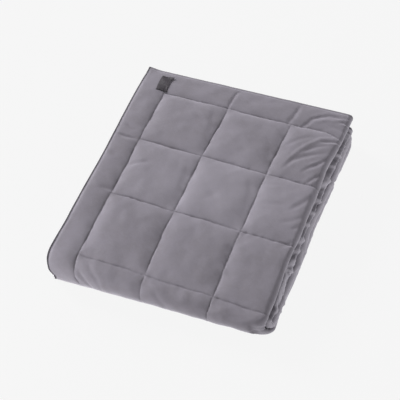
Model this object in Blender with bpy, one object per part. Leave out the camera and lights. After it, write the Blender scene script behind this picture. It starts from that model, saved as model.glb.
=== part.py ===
"""Velvet bedspread, quilted in squares, folded in three across and in four along.

The sheet is one closed solid. It is worked out in two steps. Across, a section of the cloth runs
back and forth in three layers: a strip. Along, that strip runs from its free end on top round
the front fold, back underneath, round the back fold, and forward and back again inside.
Quilting is raised in the outer face, and the last step leans and bulges the pile as it lies.
A small woven label is sewn to the border near one corner.

Metres, +Z up, +Y towards the two open ends, the free side edge at -X and the side folds at +X.
"""

import bpy
import numpy as np
from mathutils import Vector
from mathutils.bvhtree import BVHTree

# Quilting
SQUARE = 0.170  # squares, across the bedspread
SQUARE_LONG = 0.175  # and along it
SIDE_BORDER = 0.0735  # plain band beside the first squares
END_BORDER = 0.082  # plain band beyond the first squares
PUFF = 0.0055  # height of a square over its stitched lines
BORDER_PUFF = 0.0040
PUFF_POWER = 4.5  # how flat the top of a square is

# Cloth and the strip of three layers
CLOTH = 0.0054
LAYER_GAP = 0.0017
LAYERS = 3
STRIP = LAYERS * CLOTH + (LAYERS - 1) * LAYER_GAP
STRIP_GAP = 0.0015
HEM_SHARE = 0.55  # thickness left at a stitched-down edge
HEM = 0.007  # width of that edge

# The pile as folded; x is 0 on the first quilting line across, y is 0 on the first along
TOP_EDGE_X = -SIDE_BORDER
RIGHT_FOLD_X = 0.4611  # centre of the fold of layers 1 and 2, which fills the whole strip
SAG_X = 0.4475  # where layer 2 starts to sink into that fold, past the edge of layer 3
LEFT_FOLD_X = -0.0600  # centre of the fold of layers 2 and 3
INNER_EDGE_X = 0.4460  # free edge of layer 3
FRONT_Y = -0.5202  # centre of the front fold
FRONT_RADIUS = 0.0427
BACK_Y = 0.0700  # centre of the low back fold
INNER_END_Y = 0.0720  # end of the innermost strip
BACK_HEIGHT = 0.1290  # of the stitched lines at the back, where the layers are loose
TOP_SLOPE = 0.1975  # fall of the top where it meets the front fold, radians
SPARE_FRONT = 0.0046  # room over the four strips, above and below the inner upper one
SPARE_BACK = 0.0090
SPARE_BELOW = 0.6  # share of that room below it

# Where the grid lines of the quilted faces lie, as shares of one square
SQUARE_STEPS = (0.0, 0.07, 0.30, 0.70, 0.93)

# How far the folds at the two sides stand out: height as a share of the top's height
RIGHT_SIDE = (
    (0.00, 0.0075),
    (0.18, 0.0095),
    (0.34, 0.0110),
    (0.46, 0.0100),
    (0.55, 0.0040),
    (0.68, 0.0035),
    (0.76, -0.0035),
    (0.84, -0.0010),
    (0.92, 0.0000),
)
LEFT_SIDE = (
    # height, out
    (0.00, -0.001),
    (0.25, 0.002),
    (0.50, 0.008),
    (0.75, 0.004),
    (0.90, 0.000),
)
BACK_CORNER = (0.068, 0.0306)  # where the low back corners start to round in plan, and radius
FRONT_CORNER = (-0.527, 0.029)
LEFT_CORNER = (-0.532, 0.031)  # the same of the free edge at the front
FRONT_DRAW = 0.0045  # of the low side folds inwards beside the second square
CORNER_LIFT = 0.005  # of the far free corner
BACK_FLARE = 0.0212  # of the free edge, outwards at the back
FRONT_FLARE = 0.005  # and at the front
RIDGE_FLARE = 0.008  # of the upper side fold at the back
TILT = 0.52  # rise of the pile towards the free edge, share of its height for each metre
TILT_X = 0.221  # where that share is nothing
SKEW = 0.048  # turn of the foot of the front fold: back at +X and forward at -X
BACK_SKEW = 0.018  # turn of the far edge of the top

# Label
LABEL_SIZE = (0.032, 0.056, 0.0008)
LABEL_AT = (-0.0255, 0.0270)
LABEL_TURN = 0.06
LABEL_CELLS = (3, 5)
LABEL_LIFT = 0.0011

VELVET = (0.255, 0.245, 0.262, 1.0)
LABEL_CLOTH = (0.070, 0.062, 0.072, 1.0)


def ease(value, low, high):
    """0 below low, 1 above high, and a smooth S between them."""
    share = np.clip((value - low) / (high - low), 0.0, 1.0)
    return share * share * (3 - 2 * share)


def pillow(share):
    """Height of a padded square at a share of its width: 0 on both lines, nearly flat between."""
    return 1 - np.abs(2 * np.clip(share, 0, 1) - 1) ** PUFF_POWER


def line_steps(first, squares, size, end):
    """Grid lines over some squares from first, and on to end."""
    steps = [first + (n + share) * size for n in range(squares) for share in SQUARE_STEPS]
    return [step for step in steps if step < end - 0.02 * size] + [end]


def width_stations():
    """Section across: for each grid line its cut width s, centre (x, h), normal and padding.

    The normal points out of the velvet face. Layer 1 is uppermost and runs to +X, a half turn
    leads to layer 2, another to layer 3. Padding is how much of the quilting stands there.
    """
    reach = CLOTH + LAYER_GAP
    level = [STRIP - CLOTH / 2 - n * reach for n in range(LAYERS)]
    rows = []
    border = [TOP_EDGE_X, TOP_EDGE_X + HEM, -0.55 * SIDE_BORDER, -0.07 * SQUARE]
    for x in border + line_steps(0, 3, SQUARE, RIGHT_FOLD_X):
        rows.append((x - TOP_EDGE_X, x, level[0], 0, 1, 1))
    turned = rows[-1][0]
    for angle in np.linspace(0, np.pi, 7)[1:]:
        x = RIGHT_FOLD_X + reach * np.sin(angle)
        h = level[1] + reach * np.cos(angle)
        padding = max(0.0, 1 - angle / (0.7 * np.pi))
        rows.append((turned + reach * angle, x, h, np.sin(angle), np.cos(angle), padding))
    start = rows[-1][0]
    run = RIGHT_FOLD_X - SAG_X
    back = [RIGHT_FOLD_X - share * run for share in (0.3, 0.6, 1.0)]
    for x in back + list(np.linspace(SAG_X, LEFT_FOLD_X, 5)[1:]):
        share = np.clip((x - SAG_X) / run, 0, 1)
        slope = 6 * share * (1 - share) * reach / run
        tall = np.hypot(1, slope)
        h = level[1] - reach * ease(x, SAG_X, RIGHT_FOLD_X)
        rows.append((start + RIGHT_FOLD_X - x, x, h, -slope / tall, -1 / tall, 0))
    start = rows[-1][0]
    middle = (level[1] + level[2]) / 2
    for angle in np.linspace(0, np.pi, 6)[1:]:
        x = LEFT_FOLD_X - reach / 2 * np.sin(angle)
        h = middle + reach / 2 * np.cos(angle)
        rows.append((start + reach / 2 * angle, x, h, np.sin(angle), -np.cos(angle), 0))
    start = rows[-1][0]
    ends = list(np.linspace(LEFT_FOLD_X, INNER_EDGE_X - HEM, 6)[1:]) + [INNER_EDGE_X]
    for x in ends:
        rows.append((start + x - LEFT_FOLD_X, x, level[2], 0, 1, 0))
    return np.array(rows)


def top_height(y):
    """Height of the stitched lines of the top: it falls ever faster towards the front fold."""
    front = FRONT_Y - FRONT_RADIUS * np.sin(TOP_SLOPE)
    fall = BACK_HEIGHT - FRONT_RADIUS * (1 + np.cos(TOP_SLOPE))
    power = np.tan(TOP_SLOPE) * (END_BORDER - front) / fall
    share = np.clip((END_BORDER - y) / (END_BORDER - front), 0, None)
    return BACK_HEIGHT - fall * share**power


def spare(y):
    """Room over the four strips at y."""
    return SPARE_FRONT + (SPARE_BACK - SPARE_FRONT) * ease(y, FRONT_Y, END_BORDER)


def depth_at(y):
    """Depth of a strip at y: pressed by the front fold, and loose and lofty at the back."""
    return (top_height(y) - spare(y) - STRIP_GAP) / 4


def length_stations():
    """Section along: for each grid line its cut length t, inner and outer (y, z), and padding.

    The outer point is on the velvet side of the strip. The strip runs forward on top, round
    the front, back on the floor, round the back, forward, round the inner front and back.
    """
    rows = []
    front = FRONT_Y - FRONT_RADIUS * np.sin(TOP_SLOPE)
    border = [END_BORDER, END_BORDER - HEM, 0.45 * END_BORDER, 0.07 * SQUARE_LONG]
    y_at = border + [-t for t in line_steps(0, 3, SQUARE_LONG, -front)]
    step = 1e-4
    for y in y_at:
        slope = (top_height(y + step) - top_height(y - step)) / (2 * step)
        depth = depth_at(y) / np.hypot(1, slope)
        z = top_height(y)
        rows.append((END_BORDER - y, y + slope * depth, z - depth, y, z, 1))
    t = rows[-1][0]
    inside = FRONT_RADIUS - depth_at(FRONT_Y)
    for angle in np.linspace(TOP_SLOPE, np.pi, 10)[1:]:
        out = np.array((-np.sin(angle), np.cos(angle)))
        inner = out * inside + (FRONT_Y, FRONT_RADIUS)
        outer = out * FRONT_RADIUS + (FRONT_Y, FRONT_RADIUS)
        padding = 1 - ease(angle, 0.45 * np.pi, 0.95 * np.pi)
        rows.append((t + FRONT_RADIUS * (angle - TOP_SLOPE), *inner, *outer, padding))
    t = rows[-1][0]
    for y in np.linspace(FRONT_Y, BACK_Y, 6)[1:]:
        rows.append((t + y - FRONT_Y, y, depth_at(y), y, 0, 0))
    t = rows[-1][0]
    depth = depth_at(BACK_Y)
    for angle in np.linspace(0, np.pi, 6)[1:]:
        out = np.array((np.sin(angle), -np.cos(angle)))
        inner = out * STRIP_GAP / 2 + (BACK_Y, depth + STRIP_GAP / 2)
        outer = out * (STRIP_GAP / 2 + depth) + (BACK_Y, depth + STRIP_GAP / 2)
        rows.append((t + depth * angle, *inner, *outer, 0))
    t = rows[-1][0]
    for y in np.linspace(BACK_Y, FRONT_Y, 6)[1:]:
        depth = depth_at(y)
        rows.append((t + BACK_Y - y, y, depth + STRIP_GAP, y, 2 * depth + STRIP_GAP, 0))
    t = rows[-1][0]
    gap = SPARE_BELOW * SPARE_FRONT
    depth = depth_at(FRONT_Y)
    middle = 2 * depth + STRIP_GAP + gap / 2
    for angle in np.linspace(0, np.pi, 6)[1:]:
        out = np.array((-np.sin(angle), -np.cos(angle)))
        inner = out * (gap / 2 + depth) + (FRONT_Y, middle)
        outer = out * gap / 2 + (FRONT_Y, middle)
        rows.append((t + depth / 2 * angle, *inner, *outer, 0))
    t = rows[-1][0]
    for y in np.linspace(FRONT_Y, INNER_END_Y, 6)[1:]:
        low = 2 * depth_at(y) + STRIP_GAP + SPARE_BELOW * spare(y)
        rows.append((t + y - FRONT_Y, y, low + depth_at(y), y, low, 0))
    return np.array(rows)


def quilting(s, t):
    """Height of the padding over the stitched lines at cut width s and cut length t."""
    across = (s - SIDE_BORDER) / SQUARE
    along = (t - END_BORDER) / SQUARE_LONG
    square = PUFF * pillow(across % 1) * pillow(along % 1)
    u = np.clip(s / SIDE_BORDER, 0, 1)
    v = np.clip(t / END_BORDER, 0, 1)
    rise = pillow(np.minimum(u, 0.5)) * pillow(np.minimum(v, 0.5))
    fall = 1 - (1 - pillow(np.maximum(u, 0.5))) * (1 - pillow(np.maximum(v, 0.5)))
    past_along = np.where(along < 0.5, 1, pillow(along % 1))
    past_across = np.where(across < 0.5, 1, pillow(across % 1))
    over_lines = past_along * past_across
    border = BORDER_PUFF * rise * fall * (0.8 + 0.2 * over_lines)
    return np.where((across < 0) | (along < 0), border, square)


def table(rows, value):
    """Reads a table of two columns at value, straight between its rows."""
    low, high = zip(*rows)
    return np.interp(value, low, high)


def rounding(past, radius):
    """How far a quarter circle in plan has drawn in, this far past its start."""
    past = np.clip(past, 0, radius)
    return radius - np.sqrt(radius**2 - past**2)


def settle(points):
    """Leans and bulges the folded pile as it lies; the floor stays flat.

    The side folds stand out by their tables and wander a little, the free edge and the upper
    fold flare out, the low corners are rounded in plan, the foot of the front fold and the far
    edge are turned, and the whole pile is higher towards the free edge and its far corner.
    """
    x, y, z = points.T.copy()
    height = z / top_height(y)
    right = ease(x, 0.30, 0.45)
    left = 1 - ease(x, -0.05, 0.10)
    low = 1 - ease(height, 0.45, 0.62)
    front = ease(-y, 0.47, 0.54)
    wander = 0.0014 * np.sin(y / 0.052 + 7 * height) + 0.0009 * np.sin(y / 0.023 - 4 * height)
    side = table(RIGHT_SIDE, height)
    side *= 1 - 0.9 * front * (side < 0)
    back_corner = low * rounding(y - BACK_CORNER[0], BACK_CORNER[1])
    front_corner = rounding(FRONT_CORNER[0] - y, FRONT_CORNER[1])
    left_corner = (1 - ease(height, 0.15, 0.70)) * rounding(LEFT_CORNER[0] - y, LEFT_CORNER[1])
    drawn = low * FRONT_DRAW * ease(-y, 0.17, 0.22) * (1 - ease(-y, 0.25, 0.31))
    ridge = (1 - low) * RIDGE_FLARE * ease(y, -0.13, 0.03)
    x += right * (side + ridge + wander - back_corner - front_corner - drawn)
    x += left * (table(LEFT_SIDE, height) + back_corner + left_corner)
    x -= left * (BACK_FLARE * ease(y, -0.30, 0.075) + FRONT_FLARE * ease(-y, 0.44, 0.54))
    y += front * (1 - height) * SKEW * (x - TILT_X)
    y += ease(y, -0.10, 0.08) * ease(height, 0.55, 0.90) * BACK_SKEW * (x - TILT_X)
    raised = CORNER_LIFT * height * ease(-x, SIDE_BORDER - 0.02, SIDE_BORDER + 0.025)
    z = z * (1 - TILT * (x - TILT_X)) + raised * ease(y, 0.045, END_BORDER)
    return np.stack((x, y, z), axis=1)


def cloth_faces(across, along):
    """Quads of both faces of a grid and of the rim between them; the second face comes after."""
    index = np.arange(across * along).reshape(across, along)
    back = index + across * along
    a, b, c, d = index[:-1, :-1], index[1:, :-1], index[1:, 1:], index[:-1, 1:]
    top = np.stack((a, d, c, b), axis=-1).reshape(-1, 4)
    under = top[:, ::-1] + across * along
    ring = np.concatenate((index[:, 0], index[-1, 1:], index[-2::-1, -1], index[0, -2::-1]))
    ring_back = np.concatenate((back[:, 0], back[-1, 1:], back[-2::-1, -1], back[0, -2::-1]))
    rim = np.stack((ring[:-1], ring[1:], ring_back[1:], ring_back[:-1]), axis=-1)
    return np.concatenate((top, under, rim))


def bedspread_points():
    """Both faces of the folded cloth, one after the other, as rows of (x, y, z)."""
    s, x, h, nx, nh, wide_pad = (column[:, None] for column in width_stations().T)
    t, iy, iz, oy, oz, long_pad = (column[None, :] for column in length_stations().T)
    width, length = s.max(), t.max()
    edge = np.minimum(np.minimum(s, width - s), np.minimum(t, length - t))
    thick = CLOTH * (HEM_SHARE + (1 - HEM_SHARE) * ease(edge, 0, HEM))
    raised = quilting(s, t) * wide_pad * long_pad
    faces = []
    for out in (CLOTH / 2 + raised, CLOTH / 2 - thick):
        share = (h + nh * out) / STRIP
        face = np.stack(
            (x + nx * out + 0 * t, iy + (oy - iy) * share, iz + (oz - iz) * share), axis=-1
        )
        faces.append(face.reshape(-1, 3))
    return settle(np.concatenate(faces)), (s.size, t.size)


def material(name, colour, roughness):
    made = bpy.data.materials.new(name)
    made.use_nodes = True
    shader = made.node_tree.nodes["Principled BSDF"]
    shader.inputs["Base Color"].default_value = colour
    shader.inputs["Roughness"].default_value = roughness
    shader.inputs["Metallic"].default_value = 0.0
    made.diffuse_color = colour
    return made


def add_solid(name, points, faces, finish, parts):
    mesh = bpy.data.meshes.new(name)
    mesh.from_pydata(points.tolist(), [], faces.tolist())
    mesh.update()
    mesh.materials.append(finish)
    solid = bpy.data.objects.new(name, mesh)
    parts.objects.link(solid)
    return solid


def label_points(cloth):
    """A thin plate of cells laid on the cloth: each point drops onto it and stays clear."""
    wide, long, thick = LABEL_SIZE
    u, v = np.meshgrid(
        np.linspace(-wide / 2, wide / 2, LABEL_CELLS[0] + 1),
        np.linspace(long / 2, -long / 2, LABEL_CELLS[1] + 1),
        indexing="ij",
    )
    x = LABEL_AT[0] + u * np.cos(LABEL_TURN) - v * np.sin(LABEL_TURN)
    y = LABEL_AT[1] + u * np.sin(LABEL_TURN) + v * np.cos(LABEL_TURN)
    down = Vector((0, 0, -1))
    z = [cloth.ray_cast(Vector((a, b, 1)), down)[0].z for a, b in zip(x.flat, y.flat)]
    z = np.array(z).reshape(x.shape) + LABEL_LIFT
    faces = [np.stack((x, y, level), axis=-1).reshape(-1, 3) for level in (z + thick, z)]
    return np.concatenate(faces), x.shape


def main():
    for old in list(bpy.data.objects):
        bpy.data.objects.remove(old, do_unlink=True)
    parts = bpy.data.collections.new("velvet_bedspread")
    bpy.context.scene.collection.children.link(parts)

    points, grid = bedspread_points()
    faces = cloth_faces(*grid)
    cloth = BVHTree.FromPolygons(points.tolist(), faces.tolist())
    on_cloth, label_grid = label_points(cloth)
    centre = (points.min(axis=0) + points.max(axis=0)) / 2
    centre[2] = points[:, 2].min()
    velvet = material("velvet", VELVET, 0.9)
    woven = material("woven_label", LABEL_CLOTH, 0.7)
    add_solid("bedspread", points - centre, faces, velvet, parts)
    add_solid("label", on_cloth - centre, cloth_faces(*label_grid), woven, parts)


main()
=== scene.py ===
"""Looks of a folded velvet bedspread: quilted cloth, thread, woven label, floor, light and camera.

The cloth is one sheet, 1.59 m by 2.63 m, folded in three across and in four along. s is a
length across the flat sheet and t a length along it, both from the corner with the label.
On the top of the pile x = s - SIDE_BORDER and y = END_BORDER - t: the first quilting lines
cross at (0, 0). Metres throughout.
"""

import bpy
import numpy as np
from mathutils import Matrix, Vector


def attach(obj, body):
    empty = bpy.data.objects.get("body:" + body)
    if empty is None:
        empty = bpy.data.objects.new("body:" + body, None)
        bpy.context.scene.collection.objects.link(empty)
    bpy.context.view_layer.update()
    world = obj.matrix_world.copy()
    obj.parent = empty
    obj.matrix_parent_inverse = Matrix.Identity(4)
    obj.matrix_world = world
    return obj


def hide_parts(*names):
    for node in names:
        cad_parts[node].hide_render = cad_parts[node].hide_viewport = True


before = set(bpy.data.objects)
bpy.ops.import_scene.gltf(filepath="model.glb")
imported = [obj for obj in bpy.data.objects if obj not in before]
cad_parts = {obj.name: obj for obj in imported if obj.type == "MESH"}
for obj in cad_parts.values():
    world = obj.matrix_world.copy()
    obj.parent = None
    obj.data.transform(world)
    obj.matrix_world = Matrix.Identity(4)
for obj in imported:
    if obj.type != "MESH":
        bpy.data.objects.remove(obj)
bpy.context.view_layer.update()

# Quilting
SQUARE = 0.170
SQUARE_LONG = 0.175
SIDE_BORDER = 0.0735
END_BORDER = 0.082
PUFF = 0.0053
BORDER_PUFF = 0.0029
PUFF_POWERS = (5.2, 4.5)  # how flat a square is on top, before its middle and past it
PUFF_POWERS_ACROSS = (4.6, 3.3)
BORDER_POWER = 2.6  # the same of the border, towards the squares
BORDER_DIP = 0.20  # share of its height that the border loses in line with a seam
LINE_SINK = (0.011, 0.425, 0.482)  # of the first line across: size, and the x over which it grows
SEAM_DEPTH = 0.0011
SEAM_WIDTH = 0.0016
STITCH_LINE = 0.0011  # half width of the line of painted shade along the stitches
# Seams that run along, and seams that run across: share of the depth, strength of their painted
# shade line, height of the puckers, their reach before the seam and past it, their lean, and
# the seed
SEAMS_ALONG = (0.75, 0.6, 0.0013, 0.011, 0.006, 0.35, 3)
SEAMS_ACROSS = (1.0, 1.0, 0.0008, 0.006, 0.008, 0.30, 4)
PULL_SIZE = 0.0095  # length of seam over which the thread pulls harder and softer
PUCKER_SIZE = 0.0085
SOFT_WAVES = ((0.0010, 0.042, 1), (0.0006, 0.019, 2))  # height, size, seed

# Cloth, and the strip of three layers
CLOTH = 0.0054
LAYER_GAP = 0.0017
STRIP = 3 * CLOTH + 2 * LAYER_GAP
STRIP_GAP = 0.0015
HEM_SHARE = 0.55
HEM = 0.007
REACH = CLOTH + LAYER_GAP  # radius of the side fold of layers 1 and 2
ARC = np.pi * REACH
ARC_2 = ARC / 2  # the fold of layers 2 and 3, which is half as thick

EDGE_SHADE_WIDTH = 0.0046  # band along the side painted dark, as shade of the edge's rolled rim
END_EDGE_SHADE_WIDTH = 0.0020  # and along the end
EDGE_SEAM = 0.0062  # distance of the edge's own seam from it
EDGE_RELIEF = ((EDGE_SEAM, -0.0011, 0.0012), (0.0035, 0.0005, 0.0016))  # from the edge, rise, width
RIM_BULGE = 0.0012

# The pile as folded
TOP_EDGE_X = -SIDE_BORDER
RIGHT_FOLD_X = 0.4611
SAG_X = 0.4475
LEFT_FOLD_X = -0.0600
INNER_EDGE_X = 0.4460
FRONT_Y = -0.5202
FRONT_RADIUS = 0.0427
BACK_Y = 0.0700
INNER_END_Y = 0.0720
BACK_HEIGHT = 0.1290
TOP_SLOPE = 0.1975
SPARE_FRONT = 0.0046
SPARE_BACK = 0.0090
SPARE_BELOW = 0.6
LAYER_1 = RIGHT_FOLD_X - TOP_EDGE_X
LAYER_2 = RIGHT_FOLD_X - LEFT_FOLD_X
LAYER_3 = INNER_EDGE_X - LEFT_FOLD_X
WIDTH = LAYER_1 + LAYER_2 + LAYER_3 + ARC + ARC_2
FRONT_EDGE = FRONT_Y - FRONT_RADIUS * np.sin(TOP_SLOPE)  # y where the top meets the front fold
TOP_LENGTH = END_BORDER - FRONT_EDGE
FRONT_LENGTH = FRONT_RADIUS * (np.pi - TOP_SLOPE)
RUN = BACK_Y - FRONT_Y
PAST_END = 0.004  # how far the section along is worked out past both ends
PADDED_TURN = (0.16 * np.pi, 0.72 * np.pi)  # angles of the front fold over which padding fades
FLOOR_GAP = 0.0002  # least height of the cloth over the floor

# How far the right side and the left side stand out: (share of the height, out)
RIGHT_SIDE = (
    (0.00, 0.0075),
    (0.18, 0.0095),
    (0.34, 0.0110),
    (0.46, 0.0100),
    (0.55, 0.0040),
    (0.68, 0.0035),
    (0.76, -0.0035),
    (0.84, -0.0010),
    (0.92, 0.0000),
)
LEFT_SIDE = ((0.00, -0.001), (0.25, 0.002), (0.50, 0.008), (0.75, 0.004), (0.90, 0.000))
# Corners rounded in plan: y where it starts, and radius
BACK_CORNER = (0.068, 0.0306)
FRONT_CORNER = (-0.527, 0.029)
LEFT_CORNER = (-0.532, 0.031)
# Leans and bulges: size, and the stretch of y, or of -y at the front, over which it grows
BACK_FLARE = (0.0212, -0.30, 0.075)
FRONT_FLARE = (0.005, 0.44, 0.54)
RIDGE_FLARE = (0.008, -0.13, 0.03)
FRONT_DRAW = (0.0045, 0.17, 0.22)
FRONT_DRAW_END = (0.25, 0.31)  # where it fades
BACK_SKEW = (0.018, -0.10, 0.08)
CORNER_LIFT = (0.005, 0.045, END_BORDER)
SKEW = 0.048
TILT = 0.52
TILT_X = 0.221
# Stretches over which the sides, the low folds and the front fold take their shape
RIGHT_HOLD = (0.30, 0.45)  # x
LEFT_HOLD = (-0.05, 0.10)
LIFT_HOLD = (SIDE_BORDER - 0.02, SIDE_BORDER + 0.025)  # -x
FRONT_HOLD = (0.47, 0.54)  # -y
LOW_HOLD = (0.45, 0.62)  # share of the height
CORNER_HOLD = (0.15, 0.70)
FAR_EDGE_HOLD = (0.55, 0.90)
ORIGIN = np.array((0.19393, -0.23646, 0.0))

# Creases of the top, as points (x, y) from the first crossing, then half width and depth;
# a depth below nothing is a ridge
CREASES = (
    (((0.168, -0.004), (0.169, 0.03), (0.171, 0.058), (0.184, 0.076)), 0.006, 0.0017),
    (((0.331, -0.004), (0.336, 0.02), (0.341, 0.045), (0.343, 0.072)), 0.0075, 0.0017),
    (((0.364, -0.002), (0.376, 0.016), (0.383, 0.034), (0.398, 0.045)), 0.0065, 0.0023),
    (((0.384, 0.034), (0.4, 0.046), (0.418, 0.056), (0.436, 0.058), (0.458, 0.058)), 0.007, 0.0027),
    (((0.394, 0.024), (0.412, 0.038), (0.43, 0.04), (0.446, 0.047), (0.47, 0.057)), 0.006, -0.0014),
    (((0.448, 0.045), (0.466, 0.042), (0.484, 0.042)), 0.0046, 0.0023),
    (((0.446, 0.036), (0.466, 0.035), (0.482, 0.033)), 0.0044, -0.001),
    (((0.42, 0.024), (0.453, 0.02), (0.482, 0.008)), 0.008, 0.0015),
    (((0.378, -0.112), (0.392, -0.079), (0.403, -0.059), (0.423, -0.029), (0.45, -0.014)), 0.008, -0.0019),
    (((0.372, -0.146), (0.387, -0.116), (0.403, -0.102), (0.427, -0.084), (0.45, -0.07)), 0.008, 0.0022),
    (((0.352, -0.078), (0.376, -0.048), (0.402, -0.026)), 0.0085, 0.0012),
    (((0.428, -0.038), (0.454, -0.027), (0.478, -0.018)), 0.0055, 0.0024),
    (((0.434, -0.046), (0.456, -0.035), (0.478, -0.026)), 0.005, -0.0009),
    (((0.402, -0.082), (0.427, -0.055), (0.45, -0.042)), 0.006, 0.0015),
    (((0.42, -0.142), (0.434, -0.126), (0.446, -0.115), (0.458, -0.096), (0.474, -0.072)), 0.007, 0.0023),
    (((0.43, -0.118), (0.446, -0.104), (0.46, -0.09)), 0.0055, -0.0009),
    (((0.438, -0.172), (0.454, -0.154), (0.466, -0.136)), 0.006, 0.002),
    (((0.446, -0.176), (0.457, -0.16), (0.466, -0.148)), 0.005, -0.0008),
    (((0.336, -0.208), (0.362, -0.204), (0.392, -0.197)), 0.0065, 0.0008),
    (((0.352, -0.264), (0.39, -0.257), (0.42, -0.248)), 0.0075, 0.001),
    (((0.428, -0.262), (0.45, -0.236), (0.461, -0.218), (0.472, -0.19)), 0.0075, 0.0018),
    (((0.418, -0.3), (0.444, -0.287), (0.474, -0.264)), 0.007, 0.0013),
    (((0.446, -0.31), (0.467, -0.297), (0.48, -0.286)), 0.006, 0.0015),
    (((0.44, -0.36), (0.458, -0.345), (0.476, -0.328)), 0.007, 0.0012),
    (((0.004, -0.262), (0.026, -0.251), (0.056, -0.238)), 0.006, 0.0021),
    (((-0.059, -0.178), (-0.036, -0.181), (-0.01, -0.179)), 0.006, 0.0028),
    (((-0.06, -0.238), (-0.034, -0.244), (-0.006, -0.248)), 0.0065, 0.0011),
    (((-0.03, -0.344), (-0.014, -0.342), (0.001, -0.342)), 0.006, 0.0018),
    (((-0.05, -0.14), (-0.03, -0.152), (-0.016, -0.15)), 0.007, 0.0013),
    (((0.06, -0.01), (0.092, -0.036), (0.114, -0.06), (0.134, -0.072)), 0.011, 0.001),
    (((0.135, -0.02), (0.15, -0.06), (0.158, -0.11)), 0.01, 0.0007),
    (((0.3, -0.06), (0.322, -0.1), (0.33, -0.15)), 0.01, 0.0007),
    (((0.14, -0.19), (0.154, -0.24), (0.16, -0.3)), 0.01, 0.0007),
    (((0.308, -0.2), (0.324, -0.25), (0.33, -0.32)), 0.01, 0.0007),
    (((0.01, -0.56), (0.03, -0.58), (0.036, -0.61)), 0.007, 0.0018),
    (((0.03, -0.54), (0.06, -0.565), (0.07, -0.6)), 0.007, 0.0014),
    (((0.2, -0.55), (0.23, -0.58), (0.238, -0.61)), 0.008, 0.0014),
)
DROOP = (0.0017, 0.448, 0.476)  # of the top beside its fold: size, and the x over which it grows

# Pleats of the right-hand side, in the turn between layers 1 and 2 of each of the four strips
# (0 top, 1 on the floor, 2 above it, 3 under the top): from (y, share of the half turn) to
# (y, share), out, half width. Share 0 is the velvet side, which is up in strips 0 and 2. A fold
# that goes in, below nothing, is taken off the others.
SIDE_FOLDS = (
    (3, -0.15, 1.0, -0.108, 0.45, 0.006, 0.0045),
    (2, -0.112, 0.02, -0.094, 0.45, 0.0026, 0.005),
    (3, -0.04, 0.95, -0.028, 0.5, 0.003, 0.004),
    (3, -0.078, 0.95, -0.066, 0.55, 0.0026, 0.0036),
    (3, -0.196, 0.95, -0.182, 0.5, 0.0034, 0.004),
    (3, -0.232, 0.95, -0.22, 0.5, 0.003, 0.004),
    (3, -0.27, 0.95, -0.256, 0.5, 0.003, 0.004),
    (3, -0.322, 1.0, -0.296, 0.35, 0.0048, 0.0045),
    (3, -0.352, 0.95, -0.33, 0.4, 0.0036, 0.004),
    (3, -0.386, 1.05, -0.412, 0.74, 0.0058, 0.004),
    (3, -0.412, 0.74, -0.452, 0.8, 0.0056, 0.0038),
    (3, -0.452, 0.8, -0.486, 0.72, 0.0054, 0.0038),
    (3, -0.486, 0.72, -0.5, 0.2, 0.005, 0.004),
    (3, -0.412, 0.74, -0.376, 0.1, 0.0036, 0.0038),
    (2, -0.388, 0.02, -0.35, 0.45, 0.0026, 0.0042),
    (2, -0.448, 0.05, -0.462, 0.6, 0.0026, 0.004),
    (2, -0.49, 0.05, -0.482, 0.6, 0.0026, 0.004),
    (0, -0.556, 0.45, -0.564, 1.0, 0.002, 0.004),
    (0, -0.578, 0.5, -0.58, 1.0, 0.0018, 0.0036),
    (2, -0.305, 0.1, -0.326, 0.8, -0.0018, 0.006),
)
TURN_LENGTH = 0.030  # what a half turn counts as in them
PLEATS = np.array((0.0006, 0.0012, 0.0011, 0.0022))  # height of the small ones in each strip
FOOT = ((0, 0.570, 0.620), (1, 0.47, 0.52))  # strip, and the -y over which all pleats fade

# Label
LABEL_SIZE = (0.032, 0.056, 0.0007)
LABEL_AT = (-0.0093, 0.0305)
LABEL_STRETCH = 1.15  # of the cloth under it, across
LABEL_SPREAD = 0.97
LABEL_TURN = 0.05
LABEL_CORNER = (0.0026, 0.0022)  # how far its loose corner reaches out and curls up
LABEL_BEND = 0.0016  # of its long sides, towards -x at half length
LABEL_BOW = 0.0007  # upwards at half length

# Thread and grid
STITCH_PITCH = 0.0046
STITCH_HALF = 0.0017  # half the length of a stitch
THREAD_RADIUS = 0.00036
STITCH_RISE = 0.00012  # of its middle over the velvet
STITCH_SINK = 0.0005  # of its ends
SEAM_STEP = 0.0013  # of the grid on a seam
SEAM_REACH = 0.0048  # how far beside a seam it is that fine

COLOUR_OUT = 2  # the Mix node's output for colours

# Floor, world and lights
FLOOR_HALF = 40.0
FLOOR_Z = -0.0004
FLOOR_CORNERS = ((-1, -1), (1, -1), (1, 1), (-1, 1))
WORLD_BRIGHT = (0.76, -0.27, 0.0)  # towards the brighter side
LIGHTS = (
    # name, place, size, watts: one key light from the back left and three small fills
    ("key", (-9.0, 3.25, 5.4), 4.0, 2060.0),
    ("front_left", (-0.95, -0.90, 0.12), 0.5, 16.0),
    ("right", (2.4, 0.9, 0.45), 1.2, 7.0),
    ("back", (-0.60, 0.90, 0.90), 0.5, 1.2),
)

# Camera
AZIMUTH, ELEVATION, ROLL = 31.35, 48.66, -10.49
DISTANCE = 2.04
LENS = 70.82
TARGET = (-0.03053, 0.02342, 0.0007)


def linear(text):
    """sRGB hex to a linear colour with alpha."""
    value = np.array([int(text[n : n + 2], 16) for n in (0, 2, 4)]) / 255
    return (*np.where(value <= 0.04045, value / 12.92, ((value + 0.055) / 1.055) ** 2.4), 1.0)


def ease(value, low, high):
    """0 below low, 1 above high, and a smooth S between them."""
    share = np.clip((value - low) / (high - low), 0.0, 1.0)
    return share * share * (3 - 2 * share)


def grow(value, size, low, high):
    """Nothing below low, size above high, and a smooth S between them."""
    return size * ease(value, low, high)


def bell(offset, width):
    """1 where the offset is 0, and nothing from about two widths on: exp(-(offset / width)^2)."""
    return np.exp(-((offset / width) ** 2))


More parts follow.
